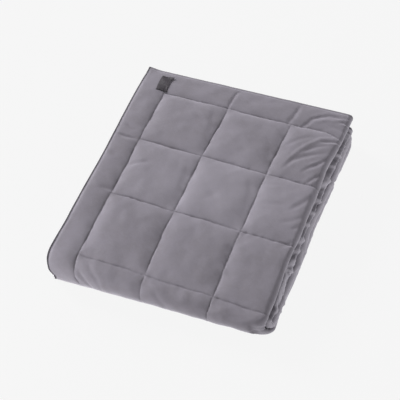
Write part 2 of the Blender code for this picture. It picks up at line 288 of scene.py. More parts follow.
def pillow(share, powers=PUFF_POWERS):
    """Height of a padded square at a share of its width: 0 on both lines, nearly flat between.

    It is 1 - |off|^power, off from -1 to 1, with one power on each side of the middle.
    """
    off = 2 * np.clip(share, 0, 1) - 1
    return 1 - np.abs(off) ** np.where(off < 0, *powers)


def uneven(u, v, size, seed):
    """Soft seeded unevenness from -1 to 1: random heights at knots size apart, eased between."""
    knots = np.random.default_rng(seed).uniform(-1, 1, (97, 89))
    u, v = u / size + 11.3, v / size + 7.7
    i, j = np.floor(u).astype(int), np.floor(v).astype(int)
    a, b = u - i, v - j
    a, b = a * a * (3 - 2 * a), b * b * (3 - 2 * b)
    value = [[knots[(i + m) % 97, (j + n) % 89] for n in (0, 1)] for m in (0, 1)]
    low = value[0][0] * (1 - b) + value[0][1] * b
    high = value[1][0] * (1 - b) + value[1][1] * b
    return low * (1 - a) + high * a


def across(s):
    """Section across at s: x, h, normal (nx, nh) and padding.

    Three runs and two half turns: x = run1 + r sin(a1) - run2 - r/2 sin(a2) + run3,
    h = top - r (1 - cos a1) + r rise - r/2 (1 - cos a2), where layer 2 rises past its fold.
    """
    a1 = np.clip((s - LAYER_1) / REACH, 0, np.pi)
    a2 = np.clip((s - LAYER_1 - ARC - LAYER_2) / (REACH / 2), 0, np.pi)
    back = np.clip(s - LAYER_1 - ARC, 0, LAYER_2)
    x = TOP_EDGE_X + np.minimum(s, LAYER_1) + REACH * np.sin(a1)
    x = x - back - REACH / 2 * np.sin(a2)
    x = x + np.maximum(s - LAYER_1 - LAYER_2 - ARC - ARC_2, 0)
    run = RIGHT_FOLD_X - SAG_X
    h = STRIP - CLOTH / 2 - REACH * (1 - np.cos(a1)) - REACH / 2 * (1 - np.cos(a2))
    h = h + REACH * ease(back, 0, run)
    share = np.clip(back / run, 0, 1)
    slope = 6 * share * (1 - share) * REACH / run
    tall = np.hypot(1, slope)
    padding = np.clip(1 - a1 / (0.7 * np.pi), 0, 1)
    return x, h, np.sin(a1) + np.sin(a2) - slope / tall, np.cos(a1) * np.cos(a2) / tall, padding


def top_height(y):
    """Height of the stitched lines of the top: it falls ever faster towards the front fold."""
    fall = BACK_HEIGHT - FRONT_RADIUS * (1 + np.cos(TOP_SLOPE))
    power = np.tan(TOP_SLOPE) * (END_BORDER - FRONT_EDGE) / fall
    share = np.clip((END_BORDER - y) / (END_BORDER - FRONT_EDGE), 0, None)
    return BACK_HEIGHT - fall * share**power


def spare(y):
    """Room over the four strips at y."""
    return SPARE_FRONT + (SPARE_BACK - SPARE_FRONT) * ease(y, FRONT_Y, END_BORDER)


def depth_at(y):
    """Depth of a strip at y."""
    return (top_height(y) - spare(y) - STRIP_GAP) / 4


def rows(*columns):
    """Columns of one length, or single numbers, side by side."""
    return np.stack(np.broadcast_arrays(*columns), axis=1)


def turn(start, centre, rounds, first, last, side, inner, outer):
    """A half turn of the strip, as rows of t, inner (y, z) and outer (y, z), and its angle."""
    angle = np.linspace(first, last, 41)
    out_y, out_z = side * np.sin(angle), -np.cos(angle) * (1 if first == 0 else -1)
    y, z = centre
    t = start + rounds * (angle - first)
    return (t, y + out_y * inner, z + out_z * inner, y + out_y * outer, z + out_z * outer), angle


def along_rows():
    """Section along, as close rows of t, inner (y, z), outer (y, z) and padding.

    The strip runs forward on top, round the front, back on the floor, round the back,
    forward, round the inner front and back; outer is its velvet side.
    """
    step = 1e-4
    y = np.linspace(END_BORDER + PAST_END, FRONT_EDGE, 241)
    slope = (top_height(y + step) - top_height(y - step)) / (2 * step)
    depth = depth_at(y) / np.hypot(1, slope)
    z = top_height(y)
    parts = [rows(END_BORDER - y, y + slope * depth, z - depth, y, z, 1)]
    inside = FRONT_RADIUS - depth_at(FRONT_Y)
    centre = (FRONT_Y, FRONT_RADIUS)
    front, angle = turn(
        TOP_LENGTH, centre, FRONT_RADIUS, TOP_SLOPE, np.pi, -1, inside, FRONT_RADIUS
    )
    parts.append(rows(*front, 1 - ease(angle, *PADDED_TURN)))
    t = TOP_LENGTH + FRONT_LENGTH
    y = np.linspace(FRONT_Y, BACK_Y, 120)
    parts.append(rows(t + y - FRONT_Y, y, depth_at(y), y, 0, 0))
    t += RUN
    depth = depth_at(BACK_Y)
    centre = (BACK_Y, depth + STRIP_GAP / 2)
    back, _ = turn(t, centre, depth, 0, np.pi, 1, STRIP_GAP / 2, STRIP_GAP / 2 + depth)
    parts.append(rows(*back, 0))
    t += depth * np.pi
    y = np.linspace(BACK_Y, FRONT_Y, 120)
    depth = depth_at(y)
    low = depth + STRIP_GAP
    parts.append(rows(t + BACK_Y - y, y, low, y, low + depth, 0))
    t += RUN
    gap = SPARE_BELOW * SPARE_FRONT
    depth = depth_at(FRONT_Y)
    centre = (FRONT_Y, 2 * depth + STRIP_GAP + gap / 2)
    inner, _ = turn(t, centre, depth / 2, 0, np.pi, -1, gap / 2 + depth, gap / 2)
    parts.append(rows(*inner, 0))
    t += depth / 2 * np.pi
    y = np.linspace(FRONT_Y, INNER_END_Y + PAST_END, 120)
    low = 2 * depth_at(y) + STRIP_GAP + SPARE_BELOW * spare(y)
    parts.append(rows(t + y - FRONT_Y, y, low + depth_at(y), y, low, 0))
    return np.concatenate([part[(1 if n else 0) :] for n, part in enumerate(parts)])


ALONG = along_rows()
LENGTH = ALONG[-1, 0] - PAST_END
# t where the strip on the floor, the one above it and the one under the top start
FLOOR_START = TOP_LENGTH + FRONT_LENGTH
MIDDLE_START = FLOOR_START + RUN + depth_at(BACK_Y) * np.pi
INNER_START = MIDDLE_START + RUN + depth_at(FRONT_Y) / 2 * np.pi


def along(t):
    """Inner (y, z), outer (y, z) and padding of the section along at t."""
    return [np.interp(t, ALONG[:, 0], column) for column in ALONG.T[1:]]


def quilt_shares(s, t):
    """Where a place is in the quilting, in squares from the first crossing.

    The lines wander by a millimetre as sums of sines, and the first line across sinks at its
    right-hand end, after a slight rise.
    """
    x, y = s - SIDE_BORDER, END_BORDER - t
    x = x + 0.0009 * np.sin(y / 0.037) + 0.0006 * np.sin(y / 0.0123 + x / 0.05)
    sink = grow(x, *LINE_SINK) - 0.004 * bell(x - 0.415, 0.028)
    sink = sink * bell(y, 0.055)
    y = y + sink + 0.0008 * np.sin(x / 0.031 + y / 0.09) + 0.0005 * np.sin(x / 0.0107)
    return x / SQUARE, -y / SQUARE_LONG


def quilting(s, t):
    """Height of the padding over the stitched lines.

    A square is a pillow across times a pillow along. The border rises from its outer edges as
    half a pillow, falls to the squares as 1 - (u v)^power, and dips in line with the seams.
    """
    wide, long = quilt_shares(s, t)
    square = PUFF * pillow(wide % 1, PUFF_POWERS_ACROSS) * pillow(long % 1)
    u = np.clip(1 + wide * SQUARE / SIDE_BORDER, 0, 1)
    v = np.clip(1 + long * SQUARE_LONG / END_BORDER, 0, 1)
    rise = pillow(np.minimum(u, 0.5)) * pillow(np.minimum(v, 0.5))
    u, v = 2 * np.maximum(u, 0.5) - 1, 2 * np.maximum(v, 0.5) - 1
    fall = 1 - u**BORDER_POWER * v**BORDER_POWER
    dip = np.where(long < 0.5, 1, pillow(long % 1)) * np.where(wide < 0.5, 1, pillow(wide % 1))
    border = BORDER_PUFF * rise * fall * (1 - BORDER_DIP + BORDER_DIP * dip)
    return np.where((wide < 0) | (long < 0), border, square)


def nearest_on(x, y, start, end):
    """Distance from (x, y) to the straight line from start to end, and how far along it that is."""
    wide, long = end[0] - start[0], end[1] - start[1]
    share = ((x - start[0]) * wide + (y - start[1]) * long) / (wide**2 + long**2)
    share = np.clip(share, 0, 1)
    return np.hypot(x - start[0] - share * wide, y - start[1] - share * long), share


def crease_field(x, y):
    """Depth of all creases at (x, y): each is -d (1 - 0.7 q^2) exp(-q^2), q = distance / width.

    The distance is to a line through the crease's points, which is narrower and shallower
    towards its ends.
    """
    total = np.zeros(np.broadcast(x, y).shape)
    for points, width, depth in CREASES:
        lengths = np.hypot(*np.diff(points, axis=0).T)
        runs = np.concatenate(((0,), np.cumsum(lengths)))
        nearest = np.full(total.shape, np.inf)
        passed = np.zeros(total.shape)
        for start, end, run, length in zip(points[:-1], points[1:], runs, lengths):
            gap, share = nearest_on(x, y, start, end)
            passed = np.where(gap < nearest, (run + share * length) / runs[-1], passed)
            nearest = np.minimum(nearest, gap)
        q = nearest / (width * (0.75 + 0.25 * np.sin(np.pi * np.clip(passed, 0.02, 0.98))))
        fade = ease(passed, -0.02, 0.22) * (1 - ease(passed, 0.72, 1.02))
        total = total - depth * (0.25 + 0.75 * fade) * (1 - 0.7 * q * q) * np.exp(-q * q)
    return total


def seams(share, other, square, at, kind):
    """Groove, puckers and line of painted shade of the seams of one direction.

    With d the distance to the nearest seam, the groove is depth * exp(-(d / width)^2) * pull,
    and the puckers are height * exp(-|d| / reach) * seeded unevenness leaning over the seam.
    """
    depth, seam_shade, height, before, past, lean, seed = kind
    number = share.round()
    off = (share - number) * square
    on = ease(other, -0.02, 0.01) * (share > -0.5)
    pull = 1 + 0.45 * uneven(at, number * 0.7, PULL_SIZE, seed)
    groove = SEAM_DEPTH * depth * on * bell(off, SEAM_WIDTH) * pull
    near = on * np.exp(-np.abs(off) / np.where(off < 0, before, past))
    pucker = height * near * uneven(at + lean * off, off * 0.35 + number, PUCKER_SIZE, seed + 2)
    return groove, pucker, seam_shade * on * bell(off, STITCH_LINE)


def relief(s, t):
    """Height over the padding's own shape, and how much painted shade the place takes, both at (s, t).

    Sum of grooves along the stitched lines, puckers across them, the edge's seam and welt, the
    creases, two sizes of soft unevenness and the pleats of the side.
    """
    x, y = s - SIDE_BORDER, END_BORDER - t
    wide, long = quilt_shares(s, t)
    grooves, puckers, lines = zip(
        seams(wide, long, SQUARE, y, SEAMS_ALONG),
        seams(long, wide, SQUARE_LONG, x, SEAMS_ACROSS),
    )
    edge = np.minimum(s, t)
    crease = crease_field(x, y) - grow(x, *DROOP)
    soft = sum(height * uneven(x, y, size, seed) for height, size, seed in SOFT_WAVES)
    height = sum(puckers) - np.maximum(*grooves) + crease + soft * (1 - bell(edge, 0.012))
    height += sum(rise * bell(edge - at, width) for at, rise, width in EDGE_RELIEF)
    # painted shade: darker along the seams and the edge's own seam, and in the creases
    painted_shade = np.clip(0.30 * np.maximum(*lines) - 55 * np.minimum(crease, 0), 0, 1)
    painted_shade = np.maximum(painted_shade, 0.35 * bell(edge - EDGE_SEAM, STITCH_LINE))
    shown = 1 - ease(s, LAYER_1 + 0.2 * ARC, LAYER_1 + 0.8 * ARC)
    shown = shown * (1 - ease(t, TOP_LENGTH + 0.70 * FRONT_LENGTH, FLOOR_START))
    return height * shown + side_folds(s, t)[0], painted_shade * shown


def rounding(past, radius):
    """How far a quarter circle in plan has drawn in, this far past its start."""
    past = np.clip(past, 0, radius)
    return radius - np.sqrt(radius**2 - past**2)


def side_place(s, t):
    """Which strip a place is in, its y there, and its share of the right-hand half turn."""
    strip = np.searchsorted((FLOOR_START, MIDDLE_START, INNER_START), t, side="right")
    on_floor, above, inner = FRONT_Y + t - FLOOR_START, BACK_Y - t + MIDDLE_START, t - INNER_START
    y = np.choose(strip, (END_BORDER - t, on_floor, above, FRONT_Y + inner))
    return strip, y, np.clip((s - LAYER_1) / ARC, -0.25, 1.25)


def side_folds(s, t):
    """Height of the pleats in the side turns at (s, t), and how high in a pleat the place is.

    Each is out * exp(-(distance / width)^2), where the distance is to a line drawn on the
    turn. Small leaning pleats run between them, strongest in the recessed strip. All of them
    fade at the foot of the front fold.
    """
    strip, y, turned = side_place(s, t)
    around = TURN_LENGTH * turned
    lines = np.zeros(y.shape)
    for number, y0, share0, y1, share1, out, width in SIDE_FOLDS:
        ends = (y0, TURN_LENGTH * share0), (y1, TURN_LENGTH * share1)
        fold = out * bell(nearest_on(y, around, *ends)[0], width)
        joined = np.maximum(lines, fold) if out > 0 else lines + fold
        lines = np.where(strip == number, joined, lines)
    lean = np.where(strip == 2, -0.35, 0.30) + 1.1 * uneven(y, strip * 0.37, 0.047, 48)
    along_side = y + lean * around + 0.009 * uneven(y, strip * 0.29, 0.023, 38)
    small = uneven(along_side, strip * 0.31 + 0.25 * around, 0.0085, 8)
    small += 0.5 * uneven(along_side, strip * 0.27 + 0.3 * around, 0.0043, 18)
    small += 0.9 - 2.2 * np.abs(uneven(along_side, strip * 0.33 + 0.6 * around, 0.012, 68))
    small *= 0.55 + 0.75 * uneven(y, strip * 0.23, 0.031, 28)
    end = 1 - ease(turned, 1.0, 1.15)
    reach = np.where(strip == 0, ease(turned, 0.30, 0.60), ease(turned, 0.02, 0.30)) * end
    foot = sum(np.where(strip == number, ease(-y, *fade), 0) for number, *fade in FOOT)
    height = lines * ease(turned, -0.05, 0.15) * end + PLEATS[strip] * small * reach
    return height * (1 - foot), np.clip(0.5 + 0.45 * small + lines / 0.004, 0, 1)


def settle(x, y, z):
    """Leans and bulges the folded pile as it lies; the floor stays flat.

    The side folds stand out by their tables and wander a little, the free edge and the upper
    fold flare out, the low corners are rounded in plan, the foot of the front fold and the far
    edge are turned, and the whole pile is higher towards the free edge and its far corner.
    """
    height = z / top_height(y)
    right = ease(x, *RIGHT_HOLD)
    left = 1 - ease(x, *LEFT_HOLD)
    low = 1 - ease(height, *LOW_HOLD)
    front = ease(-y, *FRONT_HOLD)
    wander = 0.0014 * np.sin(y / 0.052 + 7 * height) + 0.0009 * np.sin(y / 0.023 - 4 * height)
    side = np.interp(height, *zip(*RIGHT_SIDE))
    side = side * (1 - 0.9 * front * (side < 0))
    back_corner = low * rounding(y - BACK_CORNER[0], BACK_CORNER[1])
    front_corner = rounding(FRONT_CORNER[0] - y, FRONT_CORNER[1])
    left_corner = rounding(LEFT_CORNER[0] - y, LEFT_CORNER[1]) * (1 - ease(height, *CORNER_HOLD))
    ridge = (1 - low) * grow(y, *RIDGE_FLARE)
    drawn = low * grow(-y, *FRONT_DRAW) * (1 - ease(-y, *FRONT_DRAW_END))
    x = x + right * (side + ridge + wander - back_corner - front_corner - drawn)
    x = x + left * (np.interp(height, *zip(*LEFT_SIDE)) + back_corner + left_corner)
    x = x - left * (grow(y, *BACK_FLARE) + grow(-y, *FRONT_FLARE))
    y = y + front * (1 - height) * SKEW * (x - TILT_X)
    y = y + grow(y, *BACK_SKEW) * ease(height, *FAR_EDGE_HOLD) * (x - TILT_X)
    raised = grow(y, *CORNER_LIFT) * height * ease(-x, *LIFT_HOLD)
    return np.stack((x, y, z * (1 - TILT * (x - TILT_X)) + raised), axis=-1) - ORIGIN


def place(s, t, out):
    """The folded pile: the point of the sheet at (s, t), out from its middle on the velvet side.

    inner + (outer - inner) (h + nh out) / strip, with x + nx out, then settled.
    """
    x, h, nx, nh, _ = across(s)
    iy, iz, oy, oz, _ = along(t)
    share = (h + nh * out) / STRIP
    return settle(x + nx * out + 0 * t, iy + (oy - iy) * share, iz + (oz - iz) * share)


def thickness(s, t):
    """Thickness of the sheet: thin where its edges are stitched down."""
    edge = np.minimum(np.minimum(s, WIDTH - s), np.minimum(t, LENGTH - t))
    return CLOTH * (HEM_SHARE + (1 - HEM_SHARE) * ease(edge, 0, HEM))


def velvet_face(s, t):
    """Points and normals of the velvet face without its fine relief."""
    step = 0.0006
    padding = along(t)[4]

    def padded(s, t):
        """The face at (s, t), with the padding that the section along has at the first place."""
        return place(s, t, CLOTH / 2 + quilting(s, t) * across(s)[4] * padding)

    here = padded(s, t)
    normal = np.cross(padded(s, t + step) - here, padded(s + step, t) - here)
    return here, normal / np.maximum(np.linalg.norm(normal, axis=-1, keepdims=True), 1e-12)


def velvet_point(s, t, rise=0.0):
    """The finished velvet face at (s, t), risen along its normal, and that normal."""
    s, t = np.broadcast_arrays(np.asarray(s, float), np.asarray(t, float))
    here, normal = velvet_face(s, t)
    height, _ = relief(s, t)
    return here + normal * (height + rise)[..., None], normal


def stations(low, high, spacing, marks=(), fine=SEAM_STEP, reach=SEAM_REACH):
    """Places from low to high, spacing apart, and fine apart within reach of the marks.

    They are equal steps of the running sum of the density 1 / spacing.
    """
    u = np.linspace(low, high, 6001)
    density = np.full(u.size, 1 / spacing)
    for mark in marks:
        density += (1 / fine - 1 / spacing) * bell(u - mark, reach)
    total = np.concatenate(((0,), np.cumsum((density[1:] + density[:-1]) / 2 * np.diff(u))))
    count = int(round(total[-1]))
    return np.interp(np.linspace(0, total[-1], count + 1), total, u)


def sheet_lines():
    """Grid lines of the sheet across and along, which of them a coarse grid keeps, and how many
    of the lines along are on the top and round the front, where the grid is fine.

    They are 3 to 5 mm apart where the sheet shows, closest where it is creased or pleated.
    """
    lines = [SIDE_BORDER + n * SQUARE for n in range(3)]
    left = stations(0, LAYER_1, 0.0046, [*lines, 0.003])
    left = left[left <= 0.413]
    top = np.concatenate((left, stations(left[-1], LAYER_1, 0.0029, lines)[1:]))
    side = LAYER_1 + np.linspace(0, ARC, 19)
    runs = np.array((0.004, 0.010, 0.018, 0.027, 0.05, 0.20, 0.6, 0.93))
    layer_2 = LAYER_1 + ARC + LAYER_2 * runs
    left_turn = LAYER_1 + ARC + LAYER_2 + np.linspace(0, ARC_2, 6)
    layer_3 = WIDTH - LAYER_3 * np.array((0.95, 0.65, 0.30, 0.06, 0.014, 0.005, 0))
    wide = np.concatenate((top[:-1], side, layer_2, left_turn, layer_3))
    keep_wide = np.ones(wide.size, bool)
    keep_wide[: top.size - 1] = np.arange(top.size - 1) % 4 == 0
    lines = [END_BORDER + n * SQUARE_LONG for n in range(4)]
    far = stations(0, 0.262, 0.0032, [*lines, 0.003])
    shown = np.concatenate((far, stations(far[-1], FLOOR_START, 0.0044, lines)[1:]))
    # each later stretch, and one in how many of its lines a coarse grid keeps
    floor = stations(shown[-1], shown[-1] + RUN, 0.0080)[1:]
    back_turn = floor[-1] + depth_at(BACK_Y) * np.linspace(0, np.pi, 11)[1:]
    above = stations(back_turn[-1], back_turn[-1] + RUN, 0.0030)[1:]
    front_turn = above[-1] + depth_at(FRONT_Y) / 2 * np.linspace(0, np.pi, 7)[1:]
    inner = stations(front_turn[-1], LENGTH, 0.0028, [LENGTH], 0.002, 0.006)[1:]
    stretches = (shown, 4), (floor, 3), (back_turn, 1), (above, 6), (front_turn, 1), (inner, 6)
    long = np.concatenate([stretch for stretch, _ in stretches])
    every = np.concatenate([np.full(stretch.size, one_in) for stretch, one_in in stretches])
    keep_long = np.arange(long.size) % every == 0
    for keep in (keep_wide, keep_long):
        keep[[0, -1]] = True
    return wide, keep_wide, long, keep_long, shown.size


def ring_of(index):
    """The closed rim of a grid of indices, once round."""
    return np.concatenate((index[:, 0], index[-1, 1:], index[-2::-1, -1], index[0, -2:0:-1]))


def grid_quads(index):
    """Quads of a grid of indices, outward on the velvet side."""
    a, b, c, d = index[:-1, :-1], index[1:, :-1], index[1:, 1:], index[:-1, 1:]
    return np.stack((a, d, c, b), axis=-1).reshape(-1, 4)


def make_object(name, points, faces, material, smooth=True):
    """A mesh object at the origin from points and a list of face arrays."""
    mesh = bpy.data.meshes.new(name)
    polygons = [face for group in faces for face in np.asarray(group).tolist()]
    mesh.from_pydata(np.asarray(points).reshape(-1, 3).tolist(), [], polygons)
    mesh.update()
    if smooth:
        mesh.polygons.foreach_set("use_smooth", np.ones(len(mesh.polygons), bool))
    mesh.materials.append(material)
    made = bpy.data.objects.new(name, mesh)
    bpy.context.scene.collection.objects.link(made)
    return made


def add_attribute(made, name, values):
    """A number for every point of a mesh."""
    attribute = made.data.attributes.new(name, "FLOAT", "POINT")
    attribute.data.foreach_set("value", np.asarray(values, np.float32).ravel())


def add_uv(made, name, flat):
    """A UV map from the flat place of every point of a mesh."""
    corners = np.zeros(len(made.data.loops), np.int32)
    made.data.loops.foreach_get("vertex_index", corners)
    layer = made.data.uv_layers.new(name=name)
    layer.data.foreach_set("uv", flat[corners].astype(np.float32).ravel())


def cloth_shades(s, t, painted_shade):
    """How much painted highlight, painted shade and painted edge shade each place of the velvet face
    takes.

    A fold takes painted highlight on the middle of its turn and on the crests of its pleats, and
    painted shade in the pockets between them, most of all in the strip under the top.
    """
    edge_shade = np.maximum(1 - ease(s, EDGE_SHADE_WIDTH, EDGE_SHADE_WIDTH + 0.0012), 1 - ease(t, END_EDGE_SHADE_WIDTH, END_EDGE_SHADE_WIDTH + 0.0010))
    strip, _, turned = side_place(s, t)
    high = side_folds(s, t)[1]
    # painted highlight on the crest of the top's fold and on the side turns of the other strips
    broken = 0.5 + 0.5 * uneven(s, t, 0.027, 58)
    crest_highlight = bell(turned - 0.46, 0.15) * (0.15 + 0.45 * broken + 0.20 * high)
    side = np.sin(np.pi * np.clip(turned, 0, 1)) ** 0.7
    fold = side * np.where(strip == 3, high**1.5, 0.6 + 0.4 * high)
    # painted shade in the pockets between the pleats of the strip under the top, and under the top's own
    # fold
    pocket_shade = (1 - high) * ease(turned, 0.35, 0.75) * (strip == 3)
    pocket_shade += (1 - high) * ease(turned, 0.62, 0.95) * (strip == 0)
    fold = np.where(strip == 0, crest_highlight, fold)
    return {"fold": fold, "painted_shade": np.maximum(painted_shade, 2.2 * pocket_shade), "edge_shade": edge_shade}


def velvet_grid(wide, keep_wide, long, shown):
    """Places (s, t) of the velvet face, the indices of its fine grid, and those of the rest."""
    s_fine, t_fine = np.meshgrid(wide, long[:shown], indexing="ij")
    s_rest, t_rest = np.meshgrid(wide[keep_wide], long[shown:], indexing="ij")
    s = np.concatenate((s_fine.ravel(), s_rest.ravel()))
    t = np.concatenate((t_fine.ravel(), t_rest.ravel()))
    fine = np.arange(s_fine.size).reshape(s_fine.shape)
    return s, t, fine, s_fine.size + np.arange(s_rest.size).reshape(s_rest.shape)


def rim_faces(ring, kept, middle, coarse):
    """Faces of the rim: quads from the velvet's ring to the middle one, then fans to the backing.

    The fans of the middle ring reach the nearer of the coarse ring's places around them.
    """
    starts = np.flatnonzero(kept)
    before = np.cumsum(kept) - 1
    ends = np.append(starts[1:], ring.size)
    half = (np.arange(ring.size) - starts[before]) * 2 > (ends - starts)[before]
    near = (before + half) % coarse.size
    after = np.roll(near, -1)
    step = after != near
    middle_next = np.roll(middle, -1)
    rim = np.stack((ring, np.roll(ring, -1), middle_next, middle), axis=-1)
    fans = np.stack((middle, middle_next, coarse[near]), axis=-1)
    joins = np.stack((middle_next[step], coarse[after[step]], coarse[near[step]]), axis=-1)
    return rim, fans, joins


def make_cloth(velvet, edge_shade_velvet):
    """The whole folded sheet as one closed mesh.

    Velvet face: place(s, t, half thickness + padding) + normal * relief, on a fine grid on the
    top and front, and on every fourth line across elsewhere, joined by fans on the floor.
    Backing: place(s, t, half thickness - thickness), coarser. The rim between them is a soft
    round, joined to the backing by fans. A narrow band of the face along two edges takes a darker
    material, painted shade of the edge's rolled rim.
    """
    wide, keep_wide, long, keep_long, shown = sheet_lines()
    s, t, fine, rest = velvet_grid(wide, keep_wide, long, shown)
    column = np.cumsum(keep_wide[:-1]) - 1
    seam = np.stack((fine[:-1, -1], rest[column, 0], fine[1:, -1]), axis=-1)
    closing = np.stack((rest[:-1, 0], rest[1:, 0], fine[keep_wide, -1][1:]), axis=-1)
    here, normal = velvet_face(s, t)
    height, painted_shade = relief(s, t)
    front = here + normal * height[..., None]
    front[..., 2] = np.maximum(front[..., 2], FLOOR_GAP)
    sb, tb = np.meshgrid(wide[keep_wide], long[keep_long], indexing="ij")
    back = place(sb, tb, CLOTH / 2 - thickness(sb, tb))
    sides = (fine[:, 0], fine[-1, 1:], rest[-1], rest[-2::-1, -1], rest[0, -2::-1], fine[0, :0:-1])
    ring = np.concatenate(sides)
    rs, rt = s[ring], t[ring]
    ms = rs + RIM_BULGE * ((rs > WIDTH - 1e-9) * 1.0 - (rs < 1e-9) * 1.0)
    mt = rt + RIM_BULGE * ((rt > LENGTH - 1e-9) * 1.0 - (rt < 1e-9) * 1.0)
    middle = place(ms, mt, CLOTH / 2 - 0.45 * thickness(rs, rt))
    middle_index = s.size + np.arange(ring.size)
    back_index = s.size + ring.size + np.arange(sb.size).reshape(sb.shape)
    kept = np.isin(rs, wide[keep_wide]) & np.isin(rt, long[keep_long])
    rims = rim_faces(ring, kept, middle_index, ring_of(back_index))
    backing = grid_quads(back_index)[:, ::-1]
    points = np.concatenate((front, middle, back.reshape(-1, 3)))
    faces = (grid_quads(fine), grid_quads(rest), seam, closing, *rims, backing)
    made = make_object("bedspread_cloth", points, faces, velvet)
    made.data.materials.append(edge_shade_velvet)
    all_s = np.concatenate((s, ms, sb.ravel()))
    all_t = np.concatenate((t, mt, tb.ravel()))
    edge_shaded = []
    for number, group in enumerate(faces):
        at_edge = (all_s[group].mean(axis=1) < EDGE_SHADE_WIDTH) | (all_t[group].mean(axis=1) < END_EDGE_SHADE_WIDTH)
        edge_shaded.append(at_edge & (number < 2))
    made.data.polygons.foreach_set("material_index", np.concatenate(edge_shaded).astype(np.int32))
    # the rim takes some painted shade and the full dark edge colour, painted shade of its roll
    rim_shades = {"fold": 0, "painted_shade": 0.4, "edge_shade": 1}
    for name, shade in cloth_shades(s, t, painted_shade).items():
        rim_shade = np.full(ring.size, rim_shades[name])
        add_attribute(made, name, np.concatenate((shade, rim_shade, np.zeros(sb.size))))
    add_uv(made, "cloth", np.stack((all_s, all_t), axis=-1))
    return made


def on_seam(s, t, runs_along):
    """Moves places onto the wandering line that quilt_shares gives."""
    for _ in range(3):
        wide, long = quilt_shares(s, t)
        if runs_along:
            s = s - (wide - np.round(wide)) * SQUARE
        else:
            t = t - (long - np.round(long)) * SQUARE_LONG
    return s, t


def stitch_paths():
    """Seams on the shown part of the sheet, each as places (s, t) a stitch apart."""
    s_end, t_end = LAYER_1 + 0.5 * ARC, TOP_LENGTH + 0.80 * FRONT_LENGTH
    s = np.arange(SIDE_BORDER + STITCH_PITCH / 2, s_end, STITCH_PITCH)
    t = np.arange(END_BORDER + STITCH_PITCH / 2, t_end, STITCH_PITCH)
    paths = [on_seam(np.full(t.size, SIDE_BORDER + n * SQUARE), t, True) for n in range(3)]
    paths += [on_seam(s, np.full(s.size, END_BORDER + n * SQUARE_LONG), False) for n in range(4)]
    t = np.arange(EDGE_SEAM, t_end, STITCH_PITCH)
    s = np.arange(EDGE_SEAM + STITCH_PITCH, s_end, STITCH_PITCH)
    return [*paths, (np.full(t.size, EDGE_SEAM), t), (s, np.full(s.size, EDGE_SEAM))]


def make_stitches(material):
    """Thread of every seam: round stitches with tapered ends, which dip into the velvet.

    Point = centre + axis * half length * u + side * r(u) cos(a) + up * (r(u) sin(a) - sink u^4).
    """
    u = np.array((-1, -0.86, -0.4, 0.4, 0.86, 1.0))
    around = np.linspace(0, 2 * np.pi, 7)[:-1]
    radius = THREAD_RADIUS * np.array((0.25, 0.8, 1, 1, 0.8, 0.25))
    groups, faces, count = [], [], 0
    ring = np.arange(u.size * around.size).reshape(u.size, around.size)
    turned = np.roll(ring, -1, axis=1)
    quads = np.stack((ring[:-1], turned[:-1], turned[1:], ring[1:]), axis=-1).reshape(-1, 4)
    for s, t in stitch_paths():
        ds = 0.0008 * (np.ptp(s) > np.ptp(t))
        dt = 0.0008 - ds
        here, up = velvet_point(s, t, STITCH_RISE)
        ahead, _ = velvet_point(s + ds, t + dt, STITCH_RISE)
        axis = ahead - here
        axis /= np.linalg.norm(axis, axis=1, keepdims=True)
        side = np.cross(axis, up)
        lean = 0.10 * uneven(s * 97, t * 83, 0.11, 12)[:, None]
        axis, side = axis + lean * side, side - lean * axis
        here, up, axis, side = (v[:, None, None, :] for v in (here, up, axis, side))
        rise = (radius[:, None] * np.sin(around) - STITCH_SINK * (u**4)[:, None])[..., None]
        spread = (radius[:, None] * np.cos(around))[..., None]
        points = here + STITCH_HALF * u[:, None, None] * axis + spread * side + rise * up
        groups.append(points.reshape(-1, 3))
        first = count + ring.size * np.arange(s.size)[:, None, None]
        faces.append((quads[None] + first).reshape(-1, 4))
        caps = np.stack((ring[0][::-1], ring[-1]))[None] + first
        faces.append(caps.reshape(-1, around.size))
        count += ring.size * s.size
    return make_object("quilting_thread", np.concatenate(groups), faces, material)


def label_place(u, v, rise):
    """Place on the label, u and v from -1 to 1 across and along, over the velvet by rise.

    The far right corner is loose: it reaches out and curls up. Both long sides bend towards -x
    at half length, where the label bows up a little.
    """
    wide, long, _ = LABEL_SIZE
    corner = ease(u, -0.2, 1.0) * ease(v, 0.25, 1.0)
    a = u * wide / 2 * LABEL_SPREAD + LABEL_CORNER[0] * corner - LABEL_BEND * (1 - v * v)
    b = v * long / 2 - 0.0008 * (1 - u * u) * np.sign(v) * ease(np.abs(v), 0.8, 1)
    x = LABEL_AT[0] + (a * np.cos(LABEL_TURN) - b * np.sin(LABEL_TURN)) / LABEL_STRETCH
    y = LABEL_AT[1] + a * np.sin(LABEL_TURN) + b * np.cos(LABEL_TURN)
    bow = LABEL_BOW * (1 - v * v) + 0.0003 * np.sin(5 * v + 2 * u)
    curl = LABEL_CORNER[1] * corner**1.5 + 0.0003 * ease(u, 0.5, 1) * (1 - v * v)
    point, normal = velvet_point(x + SIDE_BORDER, END_BORDER - y)
    return point + normal * (0.0003 + bow + curl + rise)[..., None]


